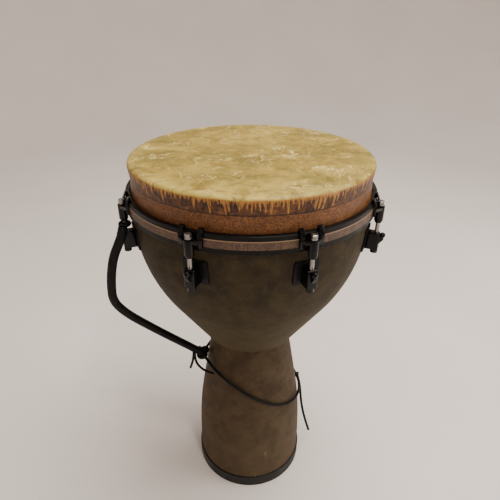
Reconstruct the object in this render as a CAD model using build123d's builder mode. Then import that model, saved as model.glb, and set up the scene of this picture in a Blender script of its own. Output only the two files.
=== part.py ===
# A key-tuned djembe: a hollow fibre shell in two pieces, a pre-tucked drum head held down by a
# counter hoop, and eight claws, bolts and lugs.  Millimetres, +Z up, the floor is Z = 0, the
# origin is the centre of the foot, and the player's side is -Y.
import os
from math import cos, pi, radians, sin, tan

from build123d import *

os.makedirs("parts", exist_ok=True)

# ---------------------------------------------------------------- driving dimensions

# Head: a 14 inch drum, 25 inches tall
head_height = 635.0
head_radius = 181.0
film_thickness = 1.0
film_shoulder = 6.0
collar_line_radius = 178.6
collar_line_height = 612.0
flare_radius = 179.4
flare_height = 589.0
tuck_radius = 181.2
tuck_top = 584.0
tuck_bottom = 572.0

# Hoops
flesh_hoop_width = 3.0
hoop_bottom = 564.5
hoop_top = 590.0
hoop_outer_radius = 188.0
hoop_flange_inner_radius = 181.6
hoop_flange_depth = 4.6
hoop_edge = 1.0
trim_bottom = 571.5
trim_top = 583.0
trim_depth = 1.4
trim_proud = 0.25

# Shell
wall = 6.0
neck_height = 312.5
neck_radius = 67.0
throat_radius = 60.0
throat_wall = 5.0
collar_bottom = 283.0
funnel_top = (139.5, 411.0)
funnel_outline = [(neck_radius, neck_height), (79.5, 319.5), funnel_top]
funnel_radii = [9.0]
belly_top = (182.0, 545.0)
crown_base = (182.6, 557.0)
lining_funnel_top = (134.5, 414.3)
funnel_lining = [(throat_radius, 315.4), (75.2, 323.9), lining_funnel_top]
funnel_lining_radii = [8.0]
lining_belly_top = (176.0, 545.0)
lining_crown_base = (176.4, 557.0)
crown_outline = [(182.6, 561), (179.7, 571.5), (179.4, 584), (177.9, 589), (176.5, 612), (176.3, 627)]
bearing_edge = (170.0, 633.7)
crown_lining = [(166.0, 630.0), (168.0, 600.0)]
foot_radius = 99.8
foot_seat = 5.0
pedestal_outline = [
    (neck_radius, neck_height), (70.4, 300.0), (97.2, 142.0), (foot_radius, 60.0), (foot_radius, foot_seat),
]
pedestal_radii = [30.0, 700.0, 500.0]
pedestal_lining = [
    (throat_radius, neck_height), (throat_radius, 283.0), (91.2, 142.0), (93.8, 60.0), (93.8, foot_seat),
]
pedestal_lining_radii = [30.0, 500.0, 400.0]

# Rubber foot ring
foot_ring_height = 23.0
foot_ring_radius = 102.3
foot_ring_inner_radius = 90.0
foot_ring_edge = 1.2

# Lugs, claws and bolts
lug_count = 8
first_lug_angle = 22.5
rod_circle = 195.0
rod_radius = 3.0
rod_bottom = 511.0
claw_face = 188.35
ear_offset = 13.0
ear_width = 6.6
ear_bottom = 571.0
ear_top = 596.0
ear_thickness = 3.4
ear_outline = [
    (claw_face, ear_bottom), (claw_face + ear_thickness, ear_bottom), (192.2, 585.5), (187.3, ear_top),
    (184.5, ear_top), (182.9, hoop_top), (claw_face, hoop_top),
]
yoke_bottom = 578.0
yoke_top = 582.5
yoke_reach = 199.0
yoke_half_width = 5.5
web_top = 588.5
web_face = 189.9
sleeve_radius = 6.3
sleeve_bottom = 561.0
sleeve_tip_radius = 5.0
sleeve_tip = 558.0
sleeve_bore = 3.3
washer_radius = 4.9
washer_thickness = 1.2
bolt_seat_gap = 0.05
bolt_flange_radius = 4.7
bolt_flange_height = 1.9
bolt_hex_flats = 8.0
bolt_hex_sides = 6
bolt_hex_height = 4.6
bolt_tip_chamfer = 0.7

lug_plate_width = 35.0
lug_plate_bottom = 513.0
lug_plate_top = 548.0
lug_plate_thickness = 2.5
lug_plate_corner = 3.5
lug_plate_gap = 0.1
lug_plate_block_start = 168.0
lug_plate_block_depth = 24.0
lug_width = 14.0
lug_bottom = 516.0
lug_top = 542.0
lug_face = 200.5
lug_root = 180.0
lug_dome = 5.0
lug_edge = 1.5
lug_tube_radius = 5.4
lug_tube_bottom = 510.0
lug_tube_overlap = 1.0
wing_width = 5.0
wing_outline = [(198, 523.5), (200.5, 524.5), (206, 532), (206.6, 538.5), (204, 541.5), (198, 539.5)]
wing_ball_radius = 4.1
wing_ball = (204.0, 538.5)
insert_radius = 4.2
insert_bore = 3.05
insert_top = 529.0

screw_heights = (520.0, 538.0)
screw_radius = 2.0
screw_hole_radius = 2.1
screw_tip = 189.4
screw_hole_start = 156.0
screw_hole_end_gap = 0.2
screw_head_radius = 4.0
screw_head_height = 2.6
screw_washer_radius = 5.5
screw_washer_thickness = 1.0
screw_washer_gap = 0.25

# Rope handle and the thin cord round the pedestal
handle_lug = 4
corner_share = 0.45
rope_radius = 6.8
rope_eye_radius = 6.6
rope_eye_thickness = 2.8
rope_eye_height = 552.2
whipping_radius = 6.9
whipping_start = (-179.3, -85.6, 553.5)
whipping_end = (-181.8, -91.3, 541.0)
rope_route = [
    (-180.8, -90.2, 544.0), (-187.2, -92.0, 529.0), (-196.2, -92.8, 511.0), (-203.5, -91.5, 486.0),
    (-209.5, -87.5, 456.0), (-213.5, -80.5, 421.5), (-199.0, -69.0, 390.0), (-173.0, -54.0, 356.0),
    (-142.0, -40.0, 321.0), (-110.0, -30.0, 290.5), (-92.0, -25.5, 273.5),
]
rope_knot_centre = (-87.0, -23.5, 270.5)
rope_knot_radius = 12.3

cord_radius = 2.5
strand_radius = 2.2
waist_route = [
    (-84.0, -25.0, 264.5), (-71.0, -46.0, 260.0), (-48.0, -69.5, 252.0), (-18.0, -84.5, 237.0),
    (14.5, -88.0, 216.0), (47.0, -80.0, 195.0), (75.0, -60.0, 180.5), (94.0, -28.0, 172.0),
    (99.0, 9.0, 169.0), (87.5, 45.5, 172.5), (62.0, 72.5, 183.0), (29.0, 88.0, 199.0),
    (-7.0, 89.0, 216.0), (-42.0, 77.5, 234.0), (-68.5, 50.0, 247.0), (-80.0, 17.5, 255.0),
    (-84.0, -13.0, 265.0),
]
waist_knot_centre = (94.9, 25.6, 170.3)
waist_knot_radius = 5.0
waist_tail_route = [
    (96.5, 25.0, 168.5), (101.5, 22.5, 152.0), (104.5, 19.0, 128.0), (107.5, 16.5, 101.0),
    (113.0, 14.5, 74.0), (120.0, 13.0, 47.0), (127.5, 12.0, 23.0),
]
knot_strand_route = [
    (-99.8, -31.5, 279.5), (-99.3, -37.0, 269.5), (-95.0, -43.5, 259.5), (-85.0, -49.5, 253.0),
    (-74.0, -54.5, 251.0), (-64.5, -59.5, 252.5),
]
knot_tail_route = [
    (-101.5, -31.0, 280.5), (-102.0, -35.0, 268.5), (-104.5, -36.5, 256.0), (-108.5, -37.0, 244.5),
]


# ---------------------------------------------------------------- helpers

def finish(piece, name):
    """Label a finished piece and write its file."""
    piece.part.label = name
    export_step(piece.part, f"parts/{name}.step")


def belly_arc(start, end, line, offset=0.0, mode=Mode.ADD):
    """The bowl's long arc, tangent to the top run of its funnel, moved outwards by an offset."""
    tangent = Vector(*line[-1]) - Vector(*line[-2])
    return TangentArc((start[0] + offset, start[1]), (end[0] + offset, end[1]), tangent=tangent, mode=mode)


def radius_at(curve, height, halvings=40):
    """Radius of a rising outline curve at a height, found by halving."""
    low, high = 0.0, 1.0
    for _ in range(halvings):
        middle = (low + high) / 2
        if (curve @ middle).Y < height:
            low = middle
        else:
            high = middle
    return (curve @ low).X


def solid_below_crown(offset):
    """A plug of the bowl's outer shape, moved outwards by an offset, from the funnel up to the crown."""
    with BuildPart() as plug:
        with BuildSketch(Plane.XZ):
            with BuildLine():
                belly_arc(funnel_top, belly_top, funnel_outline, offset)
                Polyline((belly_top[0] + offset, belly_top[1]), (crown_base[0] + offset, crown_base[1]),
                         (0, crown_base[1]), (0, funnel_top[1]), (funnel_top[0] + offset, funnel_top[1]))
            make_face()
        revolve(axis=Axis.Z)
    return plug.part


def ring_profile(inner_radius, outer_radius, bottom, top):
    """A rectangle in the current XZ sketch, from one radius and height to another."""
    with Locations(((inner_radius + outer_radius) / 2, (bottom + top) / 2)):
        Rectangle(outer_radius - inner_radius, top - bottom)


def rod_cylinder(radius, bottom, top, mode=Mode.ADD):
    """A round boss, bar or bore on the bolt's axis at the +X side, in the current part."""
    with Locations((rod_circle, 0, (bottom + top) / 2)):
        Cylinder(radius, top - bottom, mode=mode)


def drill_screw_holes():
    """The clearance holes of one lug's screws, along +X through bowl, plate and casting."""
    end = screw_tip + screw_hole_end_gap
    with Locations(*[((screw_hole_start + end) / 2, 0, height) for height in screw_heights]):
        Cylinder(screw_hole_radius, end - screw_hole_start, rotation=(0, 90, 0), mode=Mode.SUBTRACT)


def corner_radii(route):
    """The largest fillet each corner of a cord's route takes: a share of its shorter run."""
    points = [Vector(*point) for point in route]
    radii = []
    for before, corner, after in zip(points, points[1:], points[2:]):
        into = corner - before
        out = after - corner
        turn = into.get_angle(out)
        radii.append(corner_share * min(into.length, out.length) / tan(radians(turn / 2)))
    return radii


def make_cord(name, route, radius):
    """One round cord along straight runs joined by tangent arcs."""
    radii = corner_radii(route)
    with BuildPart() as cord:
        with BuildLine() as path:
            FilletPolyline(*route, radius=radii)
        centre_line = path.wires()[0]
        with BuildSketch(Plane(origin=centre_line @ 0, z_dir=centre_line % 0)):
            Circle(radius)
        sweep(path=centre_line)
    finish(cord, name)
    ratio = cord.part.volume / (pi * radius**2 * centre_line.length)
    print(f"{name}: length {centre_line.length:.0f}, volume ratio {ratio:.4f}, "
          f"radii {min(radii):.0f} to {max(radii):.0f} = {min(radii) / (2 * radius):.1f} diameters")


def repeat_round(piece, name):
    """Repeat a piece made on the +X side at each lug, as one node of separate solids."""
    with BuildPart() as group:
        with PolarLocations(0, lug_count, first_lug_angle):
            add(piece.part)
    finish(group, name)


# ---------------------------------------------------------------- shell

with BuildPart() as shell_bowl:
    with BuildSketch(Plane.XZ):
        with BuildLine():
            FilletPolyline(*funnel_outline, radius=funnel_radii)
            belly_arc(funnel_top, belly_top, funnel_outline)
            Polyline(belly_top, crown_base, *crown_outline, bearing_edge, *crown_lining,
                     lining_crown_base, lining_belly_top)
            belly_arc(lining_funnel_top, lining_belly_top, funnel_lining)
            FilletPolyline(*funnel_lining, radius=funnel_lining_radii)
            Polyline(funnel_lining[0], (throat_radius, neck_height), funnel_outline[0])
        make_face()
    revolve(axis=Axis.Z)
    with PolarLocations(0, lug_count, first_lug_angle):
        drill_screw_holes()
finish(shell_bowl, "shell_bowl")

with BuildPart() as shell_pedestal:
    with BuildSketch(Plane.XZ):
        with BuildLine():
            FilletPolyline(*pedestal_outline, radius=pedestal_radii)
            FilletPolyline(*pedestal_lining, radius=pedestal_lining_radii)
            Line(pedestal_outline[0], pedestal_lining[0])
            Line(pedestal_outline[-1], pedestal_lining[-1])
        make_face()
    revolve(axis=Axis.Z)
finish(shell_pedestal, "shell_pedestal")

with BuildPart() as neck_collar:
    with BuildSketch(Plane.XZ):
        ring_profile(throat_radius - throat_wall, throat_radius, collar_bottom, funnel_lining[0][1])
    revolve(axis=Axis.Z)
finish(neck_collar, "neck_collar")

with BuildPart() as foot_ring:
    with BuildSketch(Plane.XZ):
        ring_profile(foot_ring_inner_radius, foot_ring_radius, 0, foot_seat)
        ring_profile(foot_radius, foot_ring_radius, 0, foot_ring_height)
    revolve(axis=Axis.Z)
    outer_edges = foot_ring.edges().filter_by(GeomType.CIRCLE).sort_by(SortBy.RADIUS)[-2:]
    fillet(outer_edges, radius=foot_ring_edge)
finish(foot_ring, "foot_ring")


# ---------------------------------------------------------------- head and hoops

with BuildPart() as head_film:
    with BuildSketch(Plane.XZ):
        with BuildLine():
            Line((0, head_height), (head_radius - film_shoulder, head_height))
            RadiusArc((head_radius - film_shoulder, head_height),
                      (head_radius, head_height - film_shoulder), film_shoulder)
            Polyline((head_radius, head_height - film_shoulder), (collar_line_radius, collar_line_height),
                     (flare_radius, flare_height), (tuck_radius, tuck_top), (tuck_radius, tuck_bottom),
                     (tuck_radius - film_thickness, tuck_bottom), (tuck_radius - film_thickness, tuck_top),
                     (flare_radius - film_thickness, flare_height),
                     (collar_line_radius - film_thickness, collar_line_height),
                     (head_radius - film_thickness, head_height - film_shoulder))
            RadiusArc((head_radius - film_thickness, head_height - film_shoulder),
                      (head_radius - film_shoulder, head_height - film_thickness),
                      -(film_shoulder - film_thickness))
            Polyline((head_radius - film_shoulder, head_height - film_thickness),
                     (0, head_height - film_thickness), (0, head_height))
        make_face()
    revolve(axis=Axis.Z)
finish(head_film, "head_film")

hoop_inner_radius = tuck_radius + flesh_hoop_width
with BuildPart() as flesh_hoop:
    with BuildSketch(Plane.XZ):
        ring_profile(tuck_radius, hoop_inner_radius, tuck_bottom, tuck_top)
    revolve(axis=Axis.Z)
finish(flesh_hoop, "flesh_hoop")

with BuildPart() as counter_hoop:
    with BuildSketch(Plane.XZ):
        ring_profile(hoop_inner_radius, hoop_outer_radius, hoop_bottom, hoop_top)
        ring_profile(hoop_flange_inner_radius, hoop_outer_radius, hoop_top - hoop_flange_depth, hoop_top)
    revolve(axis=Axis.Z)
    fillet(counter_hoop.edges().filter_by(GeomType.CIRCLE).group_by(SortBy.RADIUS)[-1], radius=hoop_edge)
    with BuildSketch(Plane.XZ):
        ring_profile(hoop_outer_radius - trim_depth, hoop_outer_radius + trim_depth, trim_bottom, trim_top)
    revolve(axis=Axis.Z, mode=Mode.SUBTRACT)
finish(counter_hoop, "counter_hoop")

with BuildPart() as trim_band:
    with BuildSketch(Plane.XZ):
        ring_profile(hoop_outer_radius - trim_depth, hoop_outer_radius + trim_proud, trim_bottom, trim_top)
    revolve(axis=Axis.Z)
finish(trim_band, "hoop_trim_band")


# ---------------------------------------------------------------- claws and bolts

with BuildPart() as claw:
    for side in (-1, 1):
        with BuildSketch(Plane.XZ.offset(-side * ear_offset)):
            with BuildLine():
                Polyline(*ear_outline, close=True)
            make_face()
        extrude(amount=ear_width / 2, both=True)
    ear_edge = ear_offset + ear_width / 2
    with BuildSketch(Plane.XY.offset(yoke_bottom)):
        with BuildLine():
            Polyline((claw_face, -ear_edge), (claw_face + ear_thickness, -ear_edge),
                     (yoke_reach, -yoke_half_width), (yoke_reach, yoke_half_width),
                     (claw_face + ear_thickness, ear_edge), (claw_face, ear_edge), close=True)
        make_face()
    extrude(amount=yoke_top - yoke_bottom)
    with BuildSketch(Plane.XY.offset(yoke_top)):
        with Locations(((claw_face + web_face) / 2, 0)):
            Rectangle(web_face - claw_face, 2 * ear_offset)
    extrude(amount=web_top - yoke_top)
    rod_cylinder(sleeve_radius, sleeve_bottom, yoke_top)
    rod_cylinder(sleeve_tip_radius, sleeve_tip, sleeve_bottom)
    rod_cylinder(sleeve_bore, sleeve_tip, yoke_top, Mode.SUBTRACT)
repeat_round(claw, "tension_claws")

with BuildPart() as bolt_washer:
    rod_cylinder(washer_radius, yoke_top, yoke_top + washer_thickness)
    rod_cylinder(sleeve_bore, yoke_top, yoke_top + washer_thickness, Mode.SUBTRACT)
repeat_round(bolt_washer, "bolt_washers")

bolt_seat = yoke_top + washer_thickness + bolt_seat_gap
bolt_hex_bottom = bolt_seat + bolt_flange_height
for index in range(lug_count):
    angle = radians(first_lug_angle + index * 360 / lug_count)
    bolt_place = (rod_circle * cos(angle), rod_circle * sin(angle))
    with BuildPart() as bolt:
        with BuildSketch(Plane.XY.offset(rod_bottom)):
            with Locations(bolt_place):
                Circle(rod_radius)
        extrude(amount=bolt_seat - rod_bottom)
        tip_edge = bolt.edges().sort_by(Axis.Z)[0]
        chamfer(tip_edge, length=bolt_tip_chamfer)
        with BuildSketch(Plane.XY.offset(bolt_seat)):
            with Locations(bolt_place):
                Circle(bolt_flange_radius)
        extrude(amount=bolt_flange_height)
        with BuildSketch(Plane.XY.offset(bolt_hex_bottom)):
            with Locations(bolt_place):
                RegularPolygon(bolt_hex_flats / 2, bolt_hex_sides, major_radius=False)
        extrude(amount=bolt_hex_height)
        chamfer(bolt.faces().sort_by(Axis.Z)[-1].edges(), length=bolt_tip_chamfer)
    finish(bolt, f"tension_bolt_{index + 1}")


# ---------------------------------------------------------------- lugs

bowl_core = solid_below_crown(lug_plate_gap)
plate_core = solid_below_crown(lug_plate_gap + lug_plate_thickness)

with BuildPart() as lug_plate:
    with BuildSketch(Plane.YZ.offset(lug_plate_block_start)):
        with Locations((0, (lug_plate_bottom + lug_plate_top) / 2)):
            RectangleRounded(lug_plate_width, lug_plate_top - lug_plate_bottom, lug_plate_corner)
    extrude(amount=lug_plate_block_depth)
    add(plate_core, mode=Mode.INTERSECT)
    add(bowl_core, mode=Mode.SUBTRACT)
    drill_screw_holes()
repeat_round(lug_plate, "lug_plates")

with BuildPart() as lug:
    with BuildSketch(Plane.XZ):
        ring_profile(lug_root, lug_face, lug_bottom, lug_top)
    extrude(amount=lug_width / 2, both=True)
    top_edges = lug.edges().filter_by(Axis.Y).group_by(Axis.Z)[-1]
    fillet(top_edges.sort_by(Axis.X)[-1], radius=lug_dome)
    fillet(lug.edges().filter_by(Axis.Z), radius=lug_edge)
    with BuildSketch(Plane.XZ):
        with BuildLine():
            Polyline(*wing_outline, close=True)
        make_face()
    extrude(amount=wing_width / 2, both=True)
    with Locations((wing_ball[0], 0, wing_ball[1])):
        Sphere(wing_ball_radius)
    rod_cylinder(lug_tube_radius, lug_tube_bottom, lug_bottom + lug_tube_overlap)
    rod_cylinder(insert_radius, lug_tube_bottom, insert_top, Mode.SUBTRACT)
    rod_cylinder(sleeve_bore, insert_top, lug_top, Mode.SUBTRACT)
    add(plate_core, mode=Mode.SUBTRACT)
    drill_screw_holes()
repeat_round(lug, "lug_castings")

with BuildPart() as lug_insert:
    rod_cylinder(insert_radius, lug_tube_bottom, insert_top)
    rod_cylinder(insert_bore, lug_tube_bottom, insert_top, Mode.SUBTRACT)
repeat_round(lug_insert, "lug_inserts")

# Screws and washers from inside the bowl, two to a lug, clear of the curved lining
lining_belly = belly_arc(lining_funnel_top, lining_belly_top, funnel_lining)
washer_faces = []
for height in screw_heights:
    lining_radius = radius_at(lining_belly, height - screw_washer_radius)
    washer_faces.append(lining_radius - screw_washer_gap - screw_washer_thickness)

with BuildPart() as screw_pair:
    for height, washer_face in zip(screw_heights, washer_faces):
        with BuildSketch(Plane.YZ.offset(washer_face)):
            with Locations((0, height)):
                Circle(screw_radius)
        extrude(amount=screw_tip - washer_face)
        with BuildSketch(Plane.YZ.offset(washer_face - screw_head_height)):
            with Locations((0, height)):
                Circle(screw_head_radius)
        extrude(amount=screw_head_height)
repeat_round(screw_pair, "lug_screws")

with BuildPart() as screw_washer_pair:
    for height, washer_face in zip(screw_heights, washer_faces):
        with BuildSketch(Plane.YZ.offset(washer_face)):
            with Locations((0, height)):
                Circle(screw_washer_radius)
                Circle(screw_hole_radius, mode=Mode.SUBTRACT)
        extrude(amount=screw_washer_thickness)
repeat_round(screw_washer_pair, "lug_screw_washers")


# ---------------------------------------------------------------- rope handle and cords

handle_angle = radians(first_lug_angle + handle_lug * 360 / lug_count)
with BuildPart() as rope_eye:
    with Locations((rod_circle * cos(handle_angle), rod_circle * sin(handle_angle), rope_eye_height)):
        Torus(rope_eye_radius, rope_eye_thickness)
finish(rope_eye, "rope_eye")

with BuildPart() as rope_whipping:
    whipping_axis = Vector(*whipping_end) - Vector(*whipping_start)
    with BuildSketch(Plane(origin=whipping_start, z_dir=whipping_axis)):
        Circle(whipping_radius)
    extrude(amount=whipping_axis.length)
finish(rope_whipping, "rope_whipping")

make_cord("rope_handle", rope_route, rope_radius)

with BuildPart() as rope_knot:
    with Locations(rope_knot_centre):
        Sphere(rope_knot_radius)
finish(rope_knot, "rope_knot")

make_cord("waist_cord", waist_route, cord_radius)

with BuildPart() as waist_knot:
    with Locations(waist_knot_centre):
        Sphere(waist_knot_radius)
finish(waist_knot, "waist_cord_knot")

make_cord("waist_cord_tail", waist_tail_route, cord_radius)
make_cord("knot_strand", knot_strand_route, strand_radius)
make_cord("knot_tail", knot_tail_route, strand_radius)
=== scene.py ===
import math

import bmesh
import bpy
from mathutils import Matrix, Vector


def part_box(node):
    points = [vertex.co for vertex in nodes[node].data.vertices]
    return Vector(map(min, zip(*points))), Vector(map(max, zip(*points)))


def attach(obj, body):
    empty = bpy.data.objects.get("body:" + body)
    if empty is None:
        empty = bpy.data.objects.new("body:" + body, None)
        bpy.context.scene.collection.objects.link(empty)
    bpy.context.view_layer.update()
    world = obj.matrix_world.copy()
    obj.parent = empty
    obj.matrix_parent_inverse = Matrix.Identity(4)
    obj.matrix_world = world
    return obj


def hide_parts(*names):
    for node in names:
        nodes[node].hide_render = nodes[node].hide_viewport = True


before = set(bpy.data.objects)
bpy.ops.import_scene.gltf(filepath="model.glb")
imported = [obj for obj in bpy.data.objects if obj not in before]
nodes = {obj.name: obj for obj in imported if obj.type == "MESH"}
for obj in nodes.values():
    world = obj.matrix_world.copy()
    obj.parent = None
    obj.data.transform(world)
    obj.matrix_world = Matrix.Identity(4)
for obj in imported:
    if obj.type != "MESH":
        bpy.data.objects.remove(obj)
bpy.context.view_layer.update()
scene = bpy.context.scene
print("frame loaded:", len(nodes), "nodes")


# Node trees: one wrapper for sockets, one graph that adds nodes

class Wire:
    def __init__(self, graph, socket):
        self.graph = graph
        self.socket = socket

    def math(self, operation, *others):
        values = dict(enumerate((self, *others)))
        return self.graph.add("ShaderNodeMath", {"operation": operation}, values)

    def __add__(self, other):
        return self.math("ADD", other)

    def __radd__(self, other):
        return self.math("ADD", other)

    def __mul__(self, other):
        return self.math("MULTIPLY", other)

    def __rmul__(self, other):
        return self.math("MULTIPLY", other)

    def __sub__(self, other):
        return self.math("SUBTRACT", other)

    def __rsub__(self, other):
        return self.graph.number(other, "SUBTRACT", self)

    def __truediv__(self, other):
        return self.math("DIVIDE", other)

    def __neg__(self):
        return self.math("MULTIPLY", -1.0)

    def __abs__(self):
        return self.math("ABSOLUTE")

    def ramp(self, low, high, start=0.0, end=1.0):
        values = {"Value": self, "From Min": low, "From Max": high, "To Min": start, "To Max": end}
        return self.graph.add("ShaderNodeMapRange", {"interpolation_type": "SMOOTHSTEP"}, values)


class Graph:
    def __init__(self, tree):
        self.tree = tree

    def add(self, kind, settings=None, values=None, output=0):
        node = self.tree.nodes.new(kind)
        for key, value in (settings or {}).items():
            if key == "stops":
                elements = node.color_ramp.elements
                for index, (place, shade) in enumerate(value):
                    element = elements[index] if index < 2 else elements.new(place)
                    element.position = place
                    element.color = (*shade, 1.0)
            else:
                setattr(node, key, value)
        for key, value in (values or {}).items():
            socket = node.inputs[key]
            if isinstance(value, Wire):
                self.tree.links.new(value.socket, socket)
            elif hasattr(value, "__len__") and socket.type == "RGBA":
                socket.default_value = (*value, 1.0)[:4]
            else:
                socket.default_value = value
        return Wire(self, node.outputs[output] if len(node.outputs) else None)

    def number(self, value, operation, other):
        return self.add("ShaderNodeMath", {"operation": operation}, {0: value, 1: other})

    def mix(self, factor, first, second, blend="MIX"):
        settings = {"data_type": "RGBA", "blend_type": blend}
        return self.add("ShaderNodeMix", settings, {0: factor, 6: first, 7: second}, 2)

    def place(self):
        return self.add("ShaderNodeTexCoord", output="Object")

    def split(self, vector):
        return [self.add("ShaderNodeSeparateXYZ", values={0: vector}, output=i) for i in range(3)]

    def scaled(self, vector, scale):
        return self.add("ShaderNodeVectorMath", {"operation": "MULTIPLY"}, {0: vector, 1: scale})

    def noise(self, vector, scale, detail=4.0, rough=0.55, twist=0.0):
        values = {"Vector": vector, "Scale": scale, "Detail": detail, "Roughness": rough, "Distortion": twist}
        return self.add("ShaderNodeTexNoise", values=values)

    def bump(self, height, strength, distance):
        values = {"Height": height, "Strength": strength, "Distance": distance}
        return self.add("ShaderNodeBump", values=values)


def newMaterial(name):
    material = bpy.data.materials.new(name)
    material.use_nodes = True
    material.node_tree.nodes.clear()
    return material, Graph(material.node_tree)


def surface(graph, values):
    shader = graph.add("ShaderNodeBsdfPrincipled", values=values)
    graph.add("ShaderNodeOutputMaterial", values={"Surface": shader})


def wear(piece, material):
    piece.data.materials.clear()
    piece.data.materials.append(material)
    for face in piece.data.polygons:
        face.material_index = 0


def evaluatedMesh(piece):
    bpy.context.view_layer.update()
    return bpy.data.meshes.new_from_object(piece.evaluated_get(bpy.context.evaluated_depsgraph_get()))


# Camera and light

view = {"place": (-0.0013, -0.6526, 0.8262), "tilt": 61.38, "lens": 32.26, "roll": 0.4}
cameraData = bpy.data.cameras.new("camera")
cameraData.lens = view["lens"]
cameraData.clip_start = 0.01
camera = bpy.data.objects.new("camera", cameraData)
camera.location = view["place"]
camera.rotation_euler = (Matrix.Rotation(math.radians(view["tilt"]), 3, "X")
                         @ Matrix.Rotation(math.radians(view["roll"]), 3, "Z")).to_euler()
scene.collection.objects.link(camera)
scene.camera = camera

lightAim = (0, 0, 0.35)
lights = [
    {"name": "ceiling", "place": (0.5, 0.25, 2.5), "size": 1.5, "watts": 58, "tint": (1.0, 0.95, 0.88)},
    {"name": "lamp", "place": (0.5, -1.0, 2.2), "size": 0.2, "watts": 11, "tint": (1.0, 0.93, 0.84)},
    {"name": "side", "place": (2.2, -0.4, 1.1), "size": 1.2, "watts": 24, "tint": (1.0, 0.97, 0.93)},
]


def addLight(values):
    data = bpy.data.lights.new(values["name"], "AREA")
    data.size = values["size"]
    data.energy = values["watts"]
    data.color = values["tint"]
    lamp = bpy.data.objects.new(values["name"], data)
    lamp.location = values["place"]
    aim = Vector(lightAim) - lamp.location
    lamp.rotation_euler = aim.to_track_quat("-Z", "Y").to_euler()
    scene.collection.objects.link(lamp)


for values in lights:
    addLight(values)

roomValues = {"tint": (0.86, 0.82, 0.79, 1.0), "strength": 0.47}
world = bpy.data.worlds.new("room")
world.use_nodes = True
backdrop = world.node_tree.nodes["Background"]
backdrop.inputs["Color"].default_value = roomValues["tint"]
backdrop.inputs["Strength"].default_value = roomValues["strength"]
scene.world = world
print("camera and lights done")


# Cords: a spline through the route, and a braided tube made along it by Geometry Nodes

# Each braid: radius, strands round it, length of one turn, depth of the weave, and length of one step
braids = {
    "handle": {"Radius": 0.0065, "Carriers": 8.0, "Pitch": 0.02, "Relief": 0.0007, "Step": 0.0006},
    "thin": {"Radius": 0.0024, "Carriers": 6.0, "Pitch": 0.007, "Relief": 0.0003, "Step": 0.0005},
    "strand": {"Radius": 0.0021, "Carriers": 6.0, "Pitch": 0.007, "Relief": 0.0003, "Step": 0.0005},
    "eye": {"Radius": 0.0026, "Carriers": 6.0, "Pitch": 0.008, "Relief": 0.0003, "Step": 0.0005},
    "handleKnot": {"Radius": 0.0049, "Carriers": 6.0, "Pitch": 0.014, "Relief": 0.0006, "Step": 0.0007},
    "whipping": {"Radius": 0.00095, "Carriers": 4.0, "Pitch": 0.004, "Relief": 0.0001, "Step": 0.0006},
    "core": {"Radius": 0.0058, "Carriers": 8.0, "Pitch": 0.02, "Relief": 0.0003, "Step": 0.0006},
    "waistKnot": {"Radius": 0.0022, "Carriers": 4.0, "Pitch": 0.006, "Relief": 0.0002, "Step": 0.0005},
}
ropeValues = {
    "grooveShade": (0.001, 0.001, 0.0012), "strand": (0.007, 0.007, 0.0075), "dust": (0.018, 0.017, 0.016),
    "eyeRadius": 0.0066, "eyeTilt": 0.1, "eyePoints": 16,
    "knotSize": 0.0029, "waistKnotSize": 0.0012, "knotPoints": 48, "knotTurn": (0.7, 0.5),
    "coilStart": (-0.1796, -0.0863, 0.5520), "coilEnd": (-0.1815, -0.0907, 0.5425),
    "coilRadius": 0.0062, "coilTurns": 6, "coilPoints": 12, "corePoints": 5,
}

handleRoute = [
    (-0.1808, -0.0902, 0.544), (-0.1872, -0.092, 0.529), (-0.1962, -0.0928, 0.511),
    (-0.2035, -0.0915, 0.486), (-0.2095, -0.0875, 0.456), (-0.2135, -0.0805, 0.4215),
    (-0.199, -0.069, 0.39), (-0.173, -0.054, 0.356), (-0.142, -0.04, 0.321),
    (-0.11, -0.03, 0.2905), (-0.092, -0.0255, 0.2735),
]
waistRoute = [
    (-0.084, -0.025, 0.2645), (-0.071, -0.046, 0.26), (-0.048, -0.0695, 0.252), (-0.018, -0.0845, 0.237),
    (0.0145, -0.088, 0.216), (0.047, -0.08, 0.195), (0.075, -0.06, 0.1805), (0.094, -0.028, 0.172),
    (0.099, 0.009, 0.169), (0.0875, 0.0455, 0.1725), (0.062, 0.0725, 0.183), (0.029, 0.088, 0.199),
    (-0.007, 0.089, 0.216), (-0.042, 0.0775, 0.234), (-0.0685, 0.05, 0.247), (-0.08, 0.0175, 0.255),
    (-0.084, -0.013, 0.265),
]
waistTailRoute = [
    (0.0965, 0.025, 0.1685), (0.1015, 0.0225, 0.152), (0.1045, 0.019, 0.128), (0.1075, 0.0165, 0.101),
    (0.113, 0.0145, 0.074), (0.12, 0.013, 0.047), (0.1275, 0.012, 0.023),
]
strandRoute = [
    (-0.0998, -0.0315, 0.2795), (-0.0993, -0.037, 0.2695), (-0.095, -0.0435, 0.2595),
    (-0.085, -0.0495, 0.253), (-0.074, -0.0545, 0.251), (-0.0645, -0.0595, 0.2525),
]
knotTailRoute = [
    (-0.1015, -0.031, 0.2805), (-0.102, -0.035, 0.2685), (-0.1045, -0.0365, 0.256), (-0.1085, -0.037, 0.2445),
]


def splinePath(name, route, closed=False):
    data = bpy.data.curves.new(name, "CURVE")
    data.dimensions = "3D"
    data.resolution_u = 12
    spline = data.splines.new("NURBS")
    spline.points.add(len(route) - 1)
    for point, place in zip(spline.points, route):
        point.co = (*place, 1.0)
    spline.order_u = 3
    spline.use_cyclic_u = closed
    spline.use_endpoint_u = not closed
    holder = bpy.data.objects.new(name, data)
    scene.collection.objects.link(holder)
    line = evaluatedMesh(holder)
    bpy.data.objects.remove(holder)
    return line


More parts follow.
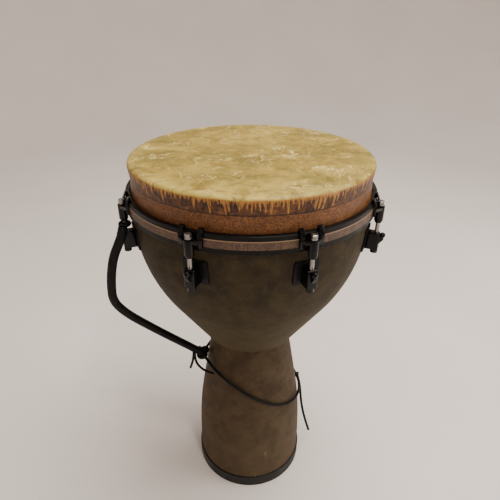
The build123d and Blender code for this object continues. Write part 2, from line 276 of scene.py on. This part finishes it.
# Strands cross over and under: the height of the weave at each point pushes the tube's surface out
def braidTree(material):
    tree = bpy.data.node_groups.new("braidedCord", "GeometryNodeTree")
    tree.interface.new_socket("Geometry", in_out="INPUT", socket_type="NodeSocketGeometry")
    names = ["Radius", "Carriers", "Pitch", "Relief", "Step"]
    sockets = {}
    for name in names:
        sockets[name] = tree.interface.new_socket(name, in_out="INPUT", socket_type="NodeSocketFloat")
    tree.interface.new_socket("Geometry", in_out="OUTPUT", socket_type="NodeSocketGeometry")
    graph = Graph(tree)
    entry = tree.nodes.new("NodeGroupInput")
    given = {n: Wire(graph, entry.outputs[n]) for n in names}
    curve = graph.add("GeometryNodeMeshToCurve", values={"Mesh": Wire(graph, entry.outputs["Geometry"])})
    curve = graph.add("GeometryNodeResampleCurve", {"mode": "LENGTH"},
                      {"Curve": curve, "Length": given["Step"]})
    along = graph.add("GeometryNodeSplineParameter", output="Length")
    curve = graph.add("GeometryNodeStoreNamedAttribute", {"data_type": "FLOAT", "domain": "POINT"},
                      {"Geometry": curve, "Name": "along", "Value": along})
    ring = graph.add("GeometryNodeCurvePrimitiveCircle",
                     values={"Resolution": 48, "Radius": given["Radius"]})
    around = graph.add("GeometryNodeSplineParameter", output="Factor")
    ring = graph.add("GeometryNodeStoreNamedAttribute", {"data_type": "FLOAT", "domain": "POINT"},
                     {"Geometry": ring, "Name": "around", "Value": around})
    tube = graph.add("GeometryNodeCurveToMesh",
                     values={"Curve": curve, "Profile Curve": ring, "Fill Caps": True})
    lengthRead = graph.add("GeometryNodeInputNamedAttribute", {"data_type": "FLOAT"}, {"Name": "along"})
    turnRead = graph.add("GeometryNodeInputNamedAttribute", {"data_type": "FLOAT"}, {"Name": "around"})
    turn = turnRead * given["Carriers"]
    run = lengthRead / given["Pitch"] * given["Carriers"]
    first = turn + run
    second = turn - run
    onTop = (first.math("FLOOR") + second.math("FLOOR")).math("PINGPONG", 1.0)
    across = (first.math("FLOORED_MODULO", 1.0) - 0.5) * 2.0
    beside = (second.math("FLOORED_MODULO", 1.0) - 0.5) * 2.0
    width = onTop * across + (1.0 - onTop) * beside
    length = onTop * beside + (1.0 - onTop) * across
    height = (1.0 - width * width) * (1.0 - 0.45 * length * length)
    normal = graph.add("GeometryNodeInputNormal")
    push = graph.add("ShaderNodeVectorMath", {"operation": "SCALE"},
                     {0: normal, "Scale": (height - 0.5) * given["Relief"]})
    tube = graph.add("GeometryNodeSetPosition", values={"Geometry": tube, "Offset": push})
    tube = graph.add("GeometryNodeStoreNamedAttribute", {"data_type": "FLOAT", "domain": "POINT"},
                     {"Geometry": tube, "Name": "relief", "Value": height})
    tube = graph.add("GeometryNodeSetShadeSmooth", values={"Geometry": tube})
    tube = graph.add("GeometryNodeRealizeInstances", values={"Geometry": tube})
    tube = graph.add("GeometryNodeSetMaterial", values={"Geometry": tube, "Material": material})
    leave = tree.nodes.new("NodeGroupOutput")
    tree.links.new(tube.socket, leave.inputs[0])
    return tree, {n: socket.identifier for n, socket in sockets.items()}


def ropeMaterial(v):
    material, graph = newMaterial("blackBraid")
    place = graph.place()
    relief = graph.add("ShaderNodeAttribute", {"attribute_name": "relief"}, output="Fac")
    fibre = graph.noise(graph.scaled(place, (900.0, 900.0, 350.0)), 1.0, 3.0, 0.6)
    dust = graph.noise(place, 60.0, 3.0)
    # painted shade: the braid is darker in the grooves between strands, where the relief is low
    shade = graph.mix(relief.ramp(0.0, 1.0), v["grooveShade"], v["strand"])
    shade = graph.mix(dust.ramp(0.5, 0.75, 0.0, 0.35), shade, v["dust"])
    surface(graph, {"Base Color": shade, "Roughness": fibre.ramp(0.3, 0.7, 0.42, 0.68),
                    "Specular IOR Level": 0.16, "Normal": graph.bump(fibre, 0.35, 0.0004)})
    return material


braid, braidInputs = braidTree(ropeMaterial(ropeValues))


def braidAlong(name, line, values):
    piece = bpy.data.objects.new(name, line)
    scene.collection.objects.link(piece)
    modifier = piece.modifiers.new("braid", "NODES")
    modifier.node_group = braid
    for key, value in values.items():
        modifier[braidInputs[key]] = value
    made = evaluatedMesh(piece)
    piece.modifiers.clear()
    piece.data = made
    return piece


def middle(node):
    low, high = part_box(node)
    return (low + high) / 2


# A trefoil, which is the simplest closed knot
def knotLine(name, centre, size, turn, steps):
    points = []
    for step in range(steps):
        t = 2 * math.pi * step / steps
        x = math.sin(t) + 2 * math.sin(2 * t)
        y = math.cos(t) - 2 * math.cos(2 * t)
        z = -1.6 * math.sin(3 * t)
        points.append(tuple(centre + turn @ (Vector((x, y, z)) * size)))
    return splinePath(name, points, closed=True)


def ringLine(name, centre, v):
    points = []
    for step in range(v["eyePoints"]):
        angle = 2 * math.pi * step / v["eyePoints"]
        offset = Vector((math.cos(angle), math.sin(angle), v["eyeTilt"] * math.sin(angle)))
        points.append(tuple(centre + v["eyeRadius"] * offset))
    return splinePath(name, points, closed=True)


def coilLine(name, start, end, v):
    axis = end - start
    side = axis.orthogonal().normalized()
    other = axis.normalized().cross(side)
    steps = v["coilTurns"] * v["coilPoints"]
    points = []
    for step in range(steps + 1):
        angle = 2 * math.pi * step / v["coilPoints"]
        spoke = math.cos(angle) * side + math.sin(angle) * other
        points.append(tuple(start + axis * (step / steps) + v["coilRadius"] * spoke))
    return splinePath(name, points)


handleLine = splinePath("handleLine", handleRoute)
handle = braidAlong("rope_handle_braid", handleLine, braids["handle"])

eye = braidAlong("rope_eye_braid", ringLine("eyeLine", middle("rope_eye"), ropeValues), braids["eye"])
tiltX, tiltY = ropeValues["knotTurn"]
knotTurn = Matrix.Rotation(tiltX, 3, "X") @ Matrix.Rotation(tiltY, 3, "Y")
knotPath = knotLine("knotLine", middle("rope_knot"), ropeValues["knotSize"], knotTurn,
                    ropeValues["knotPoints"])
knot = braidAlong("rope_knot_braid", knotPath, braids["handleKnot"])
coilStart = Vector(ropeValues["coilStart"])
coilEnd = Vector(ropeValues["coilEnd"])
whipping = braidAlong("rope_whipping_coil", coilLine("coilLine", coilStart, coilEnd, ropeValues),
                      braids["whipping"])
coreSteps = ropeValues["corePoints"] - 1
coreRoute = [tuple(coilStart.lerp(coilEnd, step / coreSteps)) for step in range(coreSteps + 1)]
whipCore = braidAlong("rope_whipping_core", splinePath("coreLine", coreRoute), braids["core"])

waistLine = splinePath("waistLine", waistRoute)
waist = braidAlong("waist_cord_braid", waistLine, braids["thin"])
waistKnotPath = knotLine("waistKnotLine", middle("waist_cord_knot"), ropeValues["waistKnotSize"],
                         knotTurn, ropeValues["knotPoints"])
waistKnot = braidAlong("waist_cord_knot_braid", waistKnotPath, braids["waistKnot"])
tailLine = splinePath("tailLine", waistTailRoute)
waistTail = braidAlong("waist_cord_tail_braid", tailLine, braids["thin"])
strandLine = splinePath("strandLine", strandRoute)
strand = braidAlong("knot_strand_braid", strandLine, braids["strand"])
knotTailLine = splinePath("knotTailLine", knotTailRoute)
knotTail = braidAlong("knot_tail_braid", knotTailLine, braids["strand"])

standIns = (
    (handle, "rope_handle"), (eye, "rope_eye"), (knot, "rope_knot"), (waist, "waist_cord"),
    (waistKnot, "waist_cord_knot"), (waistTail, "waist_cord_tail"), (strand, "knot_strand"),
    (knotTail, "knot_tail"), (whipCore, "rope_whipping"),
)
for piece, node in standIns:
    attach(piece, "shell")
    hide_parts(node)
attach(whipping, "shell")


print("cords done")


# Drum head: printed film with a mottled parchment top and a dripped, speckled collar

headValues = {
    "top": 0.635, "shoulder": 0.629, "line": 0.612, "drips": 184.0,
    "khaki": (0.225, 0.152, 0.018), "straw": (0.44, 0.305, 0.055), "cream": (0.78, 0.62, 0.24),
    "green": (0.150, 0.118, 0.015), "gold": (0.42, 0.190, 0.038), "umber": (0.018, 0.006, 0.002),
    "chestnut": (0.105, 0.036, 0.010), "rust": (0.150, 0.055, 0.019), "amber": (0.225, 0.090, 0.024),
    # the last colour is the painted highlight on the film's outer edge
    "rimHighlight": (0.66, 0.50, 0.12),
}


# The top of the film: clouds of khaki and straw, thin pale fibres, and a painted highlight that brightens the
# outer edge, most at the front
def parchment(graph, v, place, radius):
    clouds = graph.noise(place, 15.0, 6.0, 0.62, 0.6)
    blotch = graph.noise(place, 46.0, 5.0, 0.6, 0.4)
    patch = graph.noise(graph.scaled(place, (1.0, 1.6, 1.0)), 10.0, 3.0, 0.5, 0.3)
    shade = graph.mix((clouds * 0.55 + blotch * 0.45).ramp(0.38, 0.62), v["khaki"], v["straw"])
    shade = graph.mix(patch.ramp(0.46, 0.62, 0.0, 0.75), shade, v["green"])
    fibre = 0.0
    strands = (
        (5.0, (1.0, 2.2, 1.0), 0.0085), (7.5, (2.2, 1.0, 1.0), 0.0090), (12.0, (1.0, 1.2, 1.0), 0.0100),
    )
    for scale, stretch, width in strands:
        line = graph.noise(graph.scaled(place, stretch), scale, 5.0, 0.62, 0.9)
        gate = graph.noise(place, scale * 2.6, 2.0)
        fibre = abs(line - 0.5).ramp(0.0, width, 1.0, 0.0) * gate.ramp(0.50, 0.60) + fibre
    fibre = fibre.math("MINIMUM", 1.0)
    wisps = graph.noise(place, 26.0, 7.0, 0.68, 1.4)
    shade = graph.mix(wisps.ramp(0.50, 0.66, 0.0, 0.7), shade, v["straw"])
    shade = graph.mix(wisps.ramp(0.60, 0.72, 0.0, 0.45), shade, v["cream"])
    flecks = graph.noise(place, 130.0, 4.0, 0.65, 0.5)
    shade = graph.mix(flecks.ramp(0.52, 0.66, 0.0, 0.45), shade, v["straw"])
    shade = graph.mix(flecks.ramp(0.48, 0.36, 0.0, 0.40), shade, v["khaki"])
    shade = graph.mix(fibre * 0.95, shade, v["cream"])
    # painted highlight: the film's outer edge is lightened, most on the front (-Y) side
    frontHighlightMask = (-graph.split(place)[1]).ramp(0.10, 0.178)
    rimHighlight = (radius.ramp(0.150, 0.178) * 0.3 + frontHighlightMask * 0.7) * blotch.ramp(0.32, 0.56)
    return graph.mix(rimHighlight * 0.6, shade, v["rimHighlight"]), blotch + fibre * 0.5


# The upper collar: dark stain with gold drips of uneven length running down from the edge
def drippedBand(graph, v, place, x, y, z):
    angle = y.math("ARCTAN2", x)
    wander = graph.noise(graph.scaled(place, (60.0, 60.0, 20.0)), 1.0, 2.0)
    turn = angle * (v["drips"] / (2 * math.pi)) + wander * 2.2
    cell = (turn + 0.5).math("FLOOR")
    luck = graph.add("ShaderNodeTexWhiteNoise", {"noise_dimensions": "1D"}, {"W": cell})
    across = abs(turn - cell)
    ragged = graph.noise(graph.scaled(place, (420.0, 420.0, 90.0)), 1.0, 3.0, 0.6)
    depth = (v["top"] - 0.0035) - z
    thin = across.ramp(0.08, 0.34, 1.0, 0.0)
    reach = thin * (luck * luck * 0.016 + 0.004) + luck * 0.003 + 0.0004
    drip = (reach - depth + (ragged - 0.5) * 0.010).ramp(-0.0022, 0.0022)
    stain = graph.noise(graph.scaled(place, (150.0, 150.0, 70.0)), 1.0, 5.0, 0.65, 0.8)
    shade = graph.mix(stain.ramp(0.36, 0.62), v["umber"], v["chestnut"])
    warm = graph.noise(graph.scaled(place, (70.0, 70.0, 120.0)), 1.0, 4.0, 0.6, 0.6)
    shade = graph.mix(warm.ramp(0.50, 0.68, 0.0, 0.7), shade, v["amber"])
    return graph.mix(drip * ragged.ramp(0.36, 0.56, 0.3, 0.95), shade, v["gold"])


# The lower collar: rust brown with fine gold and dark specks
def speckledBand(graph, v, place):
    speck = graph.noise(place, 620.0, 2.0, 0.7)
    mottle = graph.noise(place, 120.0, 5.0, 0.62)
    broad = graph.noise(place, 26.0, 3.0)
    shade = graph.mix(mottle.ramp(0.34, 0.60), v["chestnut"], v["rust"])
    shade = graph.mix(broad.ramp(0.48, 0.68, 0.0, 0.55), shade, v["amber"])
    shade = graph.mix(speck.ramp(0.54, 0.64, 0.0, 0.5), shade, v["gold"])
    return graph.mix(speck.ramp(0.46, 0.36, 0.0, 0.7), shade, v["umber"])


def filmMaterial(v):
    material, graph = newMaterial("printedFilm")
    place = graph.place()
    x, y, z = graph.split(place)
    radius = (x * x + y * y).math("SQRT")
    skin, relief = parchment(graph, v, place, radius)
    upper = drippedBand(graph, v, place, x, y, z)
    lower = speckledBand(graph, v, place)
    grain = graph.noise(place, 420.0, 3.0, 0.6)
    waver = graph.noise(place, 40.0, 2.0)
    height = z + (waver - 0.5) * 0.0016 - v["line"]
    collar = graph.mix(height.ramp(-0.0006, 0.0006), lower, upper)
    # painted shadow: a dark line along the seam between the drip band and the lower band
    collar = graph.mix(abs(height).ramp(0.0003, 0.0014, 0.85, 0.0), collar, v["umber"])
    topMask = (z + (waver - 0.5) * 0.004 - v["shoulder"]).ramp(0.0015, 0.0040)
    shade = graph.mix(topMask, collar, skin)
    surface(graph, {"Base Color": shade, "Roughness": grain.ramp(0.3, 0.7, 0.40, 0.56),
                    "Specular IOR Level": 0.35, "Normal": graph.bump(relief + grain * 0.5, 0.25, 0.0006)})
    return material


wear(nodes["head_film"], filmMaterial(headValues))
print("head done")


# Shell: wrapped fibre in an olive-brown weave, with scuffs

shellValues = {
    "threads": 560.0, "thread": 0.0011, "grooveShade": (0.010, 0.006, 0.003),
    "fleck": (0.20, 0.15, 0.09), "scuff": (0.20, 0.155, 0.10),
}


def shellMaterial(name, tones):
    material, graph = newMaterial(name)
    place = graph.place()
    x, y, z = graph.split(place)
    angle = y.math("ARCTAN2", x)
    warp = (angle * shellValues["threads"] * 0.5).math("SINE")
    weft = (z * (math.pi / shellValues["thread"])).math("SINE")
    weave = abs(warp) * 0.5 + abs(weft) * 0.5
    mottle = graph.noise(place, 34.0, 7.0, 0.68, 0.3)
    slub = graph.noise(graph.scaled(place, (40.0, 40.0, 500.0)), 1.0, 3.0, 0.6)
    grain = graph.noise(place, 700.0, 3.0, 0.65)
    shade = graph.mix(mottle.ramp(0.36, 0.64), tones["dark"], tones["light"])
    broad = graph.noise(place, 8.0, 5.0, 0.66, 0.4)
    shade = graph.mix(broad.ramp(0.40, 0.75, 0.0, 0.45), shade, tones["warm"])
    # painted light: bounce light from the floor is painted in, paler towards the bottom of each part
    bounceLight = z.ramp(tones["low"], tones["high"], 0.55, 0.0)
    shade = graph.mix(bounceLight * mottle.ramp(0.30, 0.60, 0.75, 1.0), shade, tones["pale"])
    shade = graph.mix(slub.ramp(0.5, 0.75, 0.0, 0.35), shade, tones["light"])
    shade = graph.mix(grain.ramp(0.42, 0.7, 0.0, 0.5), shade, tones["light"])
    # painted shade: the weave is darkened in the dips between threads
    shade = graph.mix(weave.ramp(0.0, 0.45, 0.45, 0.0), shade, shellValues["grooveShade"])
    fleck = graph.noise(place, 330.0, 1.0, 0.5).ramp(0.74, 0.80)
    shade = graph.mix(fleck * 0.25, shade, shellValues["fleck"])
    rub = graph.noise(graph.scaled(place, (75.0, 75.0, 14.0)), 1.0, 4.0, 0.7).ramp(0.60, 0.72)
    rubGate = graph.noise(place, 7.0, 2.0).ramp(0.52, 0.62)
    shade = graph.mix(rub * rubGate * tones["scuffs"], shade, shellValues["scuff"])
    relief = weave * 0.6 + grain * 0.3 + slub * 0.2
    surface(graph, {"Base Color": shade, "Roughness": grain.ramp(0.3, 0.7, 0.62, 0.85),
                    "Specular IOR Level": 0.2, "Normal": graph.bump(relief, 0.45, 0.0005)})
    return material


# low, high and pale set the painted bounce light: the heights where it fades out and its colour
bowlTones = {
    "dark": (0.016, 0.011, 0.005), "light": (0.044, 0.032, 0.013), "warm": (0.032, 0.020, 0.008),
    "low": 0.31, "high": 0.50, "pale": (0.082, 0.062, 0.024), "scuffs": 0.15,
}
pedestalTones = {
    "dark": (0.034, 0.022, 0.011), "light": (0.074, 0.050, 0.026), "warm": (0.062, 0.034, 0.016),
    "low": 0.0, "high": 0.26, "pale": (0.098, 0.067, 0.036), "scuffs": 0.7,
}
wear(nodes["shell_bowl"], shellMaterial("wovenBowl", bowlTones))
wear(nodes["shell_pedestal"], shellMaterial("wovenPedestal", pedestalTones))

collarValues = {"dark": (0.10, 0.065, 0.035), "light": (0.19, 0.13, 0.075)}
rubberValues = {"black": (0.006, 0.006, 0.006), "dust": (0.020, 0.017, 0.015), "sole": (0.035, 0.031, 0.028)}


def fibreMaterial(v):
    material, graph = newMaterial("rawFibre")
    place = graph.place()
    strands = graph.noise(graph.scaled(place, (30.0, 30.0, 240.0)), 1.0, 5.0, 0.6, 0.4)
    shade = graph.mix(strands.ramp(0.35, 0.65), v["dark"], v["light"])
    surface(graph, {"Base Color": shade, "Roughness": strands.ramp(0.3, 0.7, 0.7, 0.9),
                    "Normal": graph.bump(strands, 0.4, 0.0008)})
    return material


wear(nodes["neck_collar"], fibreMaterial(collarValues))


def rubberMaterial(v):
    material, graph = newMaterial("footRubber")
    place = graph.place()
    pores = graph.noise(place, 900.0, 3.0, 0.6)
    dust = graph.noise(place, 28.0, 5.0, 0.65, 0.3)
    z = graph.split(place)[2]
    shade = graph.mix(dust.ramp(0.45, 0.75, 0.0, 0.8), v["black"], v["dust"])
    shade = graph.mix(z.ramp(0.004, 0.0, 0.0, 0.5), shade, v["sole"])
    surface(graph, {"Base Color": shade, "Roughness": dust.ramp(0.35, 0.7, 0.42, 0.66),
                    "Specular IOR Level": 0.25, "Normal": graph.bump(pores + dust, 0.2, 0.0005)})
    return material


wear(nodes["foot_ring"], rubberMaterial(rubberValues))
print("shell done")


# Hoop, trim and hardware

castingBlack = {"base": (0.001, 0.001, 0.0012), "worn": (0.003, 0.003, 0.003)}
paintBlack = {"base": (0.002, 0.002, 0.0022), "worn": (0.005, 0.005, 0.005)}
metals = {
    "glossBlackCasting": {**castingBlack, "rough": 0.12, "metallic": 0.0, "bump": 0.1, "shine": 0.2},
    "satinBlackHoop": {**paintBlack, "rough": 0.32, "metallic": 0.0, "bump": 0.12, "shine": 0.17},
    "plateBlack": {**paintBlack, "rough": 0.40, "metallic": 0.0, "bump": 0.2, "shine": 0.15},
    "nickelRod": {"base": (0.30, 0.29, 0.28), "worn": (0.18, 0.17, 0.16),
                  "rough": 0.22, "metallic": 1.0, "bump": 0.06, "shine": 0.5},
    "zincSteel": {"base": (0.52, 0.51, 0.49), "worn": (0.36, 0.35, 0.33),
                  "rough": 0.28, "metallic": 1.0, "bump": 0.08, "shine": 0.5},
    "turnedBrass": {"base": (0.60, 0.44, 0.20), "worn": (0.40, 0.28, 0.12),
                    "rough": 0.3, "metallic": 1.0, "bump": 0.08, "shine": 0.5},
    "hoopAluminium": {"base": (0.62, 0.62, 0.62), "worn": (0.45, 0.45, 0.45),
                      "rough": 0.35, "metallic": 1.0, "bump": 0.08, "shine": 0.5},
}


def metalMaterial(name, v):
    material, graph = newMaterial(name)
    place = graph.place()
    cast = graph.noise(place, 480.0, 3.0, 0.6)
    smear = graph.noise(place, 60.0, 5.0, 0.6, 0.5)
    shade = graph.mix(smear.ramp(0.45, 0.75, 0.0, 0.7), v["base"], v["worn"])
    surface(graph, {"Base Color": shade, "Roughness": smear.ramp(0.3, 0.75, v["rough"], v["rough"] + 0.16),
                    "Metallic": v["metallic"], "Specular IOR Level": v["shine"],
                    "Normal": graph.bump(cast + smear, v["bump"], 0.0004)})
    return material


finishes = {name: metalMaterial(name, values) for name, values in metals.items()}

trimValues = {
    "dark": (0.040, 0.017, 0.008), "copper": (0.092, 0.046, 0.023), "spark": (0.20, 0.115, 0.065),
    "pit": (0.018, 0.008, 0.004), "edge": (0.36, 0.23, 0.13), "edgeFrom": 0.5812, "edgeTo": 0.5824,
}


def trimMaterial(v):
    material, graph = newMaterial("copperTrim")
    place = graph.place()
    z = graph.split(place)[2]
    speck = graph.noise(place, 640.0, 3.0, 0.7)
    mottle = graph.noise(place, 110.0, 4.0, 0.6)
    shade = graph.mix(mottle.ramp(0.36, 0.66), v["dark"], v["copper"])
    shade = graph.mix(speck.ramp(0.53, 0.66, 0.0, 0.85), shade, v["spark"])
    shade = graph.mix(speck.ramp(0.45, 0.34, 0.0, 0.85), shade, v["pit"])
    shade = graph.mix(z.ramp(v["edgeFrom"], v["edgeTo"], 0.0, 0.7), shade, v["edge"])
    surface(graph, {"Base Color": shade, "Roughness": speck.ramp(0.3, 0.7, 0.4, 0.6),
                    "Normal": graph.bump(speck, 0.35, 0.0005)})
    return material


nodeFinishes = {
    "counter_hoop": "satinBlackHoop", "flesh_hoop": "hoopAluminium", "lug_inserts": "turnedBrass",
    "lug_screws": "zincSteel", "lug_screw_washers": "zincSteel", "bolt_washers": "glossBlackCasting",
}
for node, finish in nodeFinishes.items():
    wear(nodes[node], finishes[finish])
for node in nodes:
    if node.startswith("tension_bolt_"):
        wear(nodes[node], finishes["nickelRod"])
wear(nodes["hoop_trim_band"], trimMaterial(trimValues))


# A copy of a CAD node with its triangles merged and its edges rounded
def bevelledCopy(name, node, width):
    mesh = nodes[node].data.copy()
    work = bmesh.new()
    work.from_mesh(mesh)
    bmesh.ops.remove_doubles(work, verts=work.verts, dist=0.000005)
    bmesh.ops.dissolve_limit(work, angle_limit=math.radians(1.0), verts=work.verts, edges=work.edges)
    work.to_mesh(mesh)
    work.free()
    piece = bpy.data.objects.new(name, mesh)
    scene.collection.objects.link(piece)
    bevel = piece.modifiers.new("softEdge", "BEVEL")
    bevel.width = width
    bevel.segments = 3
    bevel.limit_method = "ANGLE"
    bevel.angle_limit = math.radians(35)
    bevel.harden_normals = False
    made = evaluatedMesh(piece)
    piece.modifiers.clear()
    piece.data = made
    for face in made.polygons:
        face.use_smooth = True
    made.set_sharp_from_angle(angle=math.radians(40))
    return piece


hardware = [
    {"name": "claws_finished", "node": "tension_claws", "body": "head_assembly", "edge": 0.0005,
     "slot": "black_metal", "finish": "glossBlackCasting"},
    {"name": "lugs_finished", "node": "lug_castings", "body": "shell", "edge": 0.0005,
     "slot": "black_metal", "finish": "glossBlackCasting"},
    {"name": "lug_plates_finished", "node": "lug_plates", "body": "shell", "edge": 0.0006,
     "slot": "satin_black_metal", "finish": "plateBlack"},
]
for item in hardware:
    piece = bevelledCopy(item["name"], item["node"], item["edge"])
    wear(piece, finishes[item["finish"]])
    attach(piece, item["body"])
    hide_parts(item["node"])
print("hardware done")


# Floor

backdropValues = {
    "flat": 2.4, "bend": 1.6, "height": 4.6, "sides": 96, "steps": 12,
    "pale": (0.90, 0.83, 0.775), "shade": (0.86, 0.79, 0.74),
}


def floorMaterial(v):
    material, graph = newMaterial("paleFloor")
    place = graph.place()
    soft = graph.noise(place, 2.0, 4.0, 0.5)
    weave = graph.noise(place, 160.0, 2.0, 0.5)
    shade = graph.mix(soft.ramp(0.3, 0.7), v["shade"], v["pale"])
    surface(graph, {"Base Color": shade, "Roughness": soft.ramp(0.3, 0.7, 0.85, 0.95),
                    "Normal": graph.bump(weave, 0.05, 0.001)})
    return material


# A round floor whose edge bends up into a wall, so that every view has the same background
def sweepFloor(v):
    work = bmesh.new()
    outline = [(0.0, 0.0), (v["flat"], 0.0)]
    for step in range(1, v["steps"] + 1):
        angle = math.pi / 2 * step / v["steps"]
        outline.append((v["flat"] + v["bend"] * math.sin(angle), v["bend"] * (1 - math.cos(angle))))
    outline.append((v["flat"] + v["bend"], v["height"]))
    line = [work.verts.new((reach, 0, height)) for reach, height in outline]
    edges = [work.edges.new(pair) for pair in zip(line, line[1:])]
    bmesh.ops.spin(work, geom=line + edges, axis=(0, 0, 1), cent=(0, 0, 0), angle=2 * math.pi,
                   steps=v["sides"], use_merge=True)
    bmesh.ops.remove_doubles(work, verts=work.verts, dist=0.0001)
    bmesh.ops.recalc_face_normals(work, faces=work.faces)
    mesh = bpy.data.meshes.new("floor")
    work.to_mesh(mesh)
    work.free()
    for face in mesh.polygons:
        face.use_smooth = True
    piece = bpy.data.objects.new("floor", mesh)
    scene.collection.objects.link(piece)
    return piece


floor = sweepFloor(backdropValues)
wear(floor, floorMaterial(backdropValues))
print("floor done")
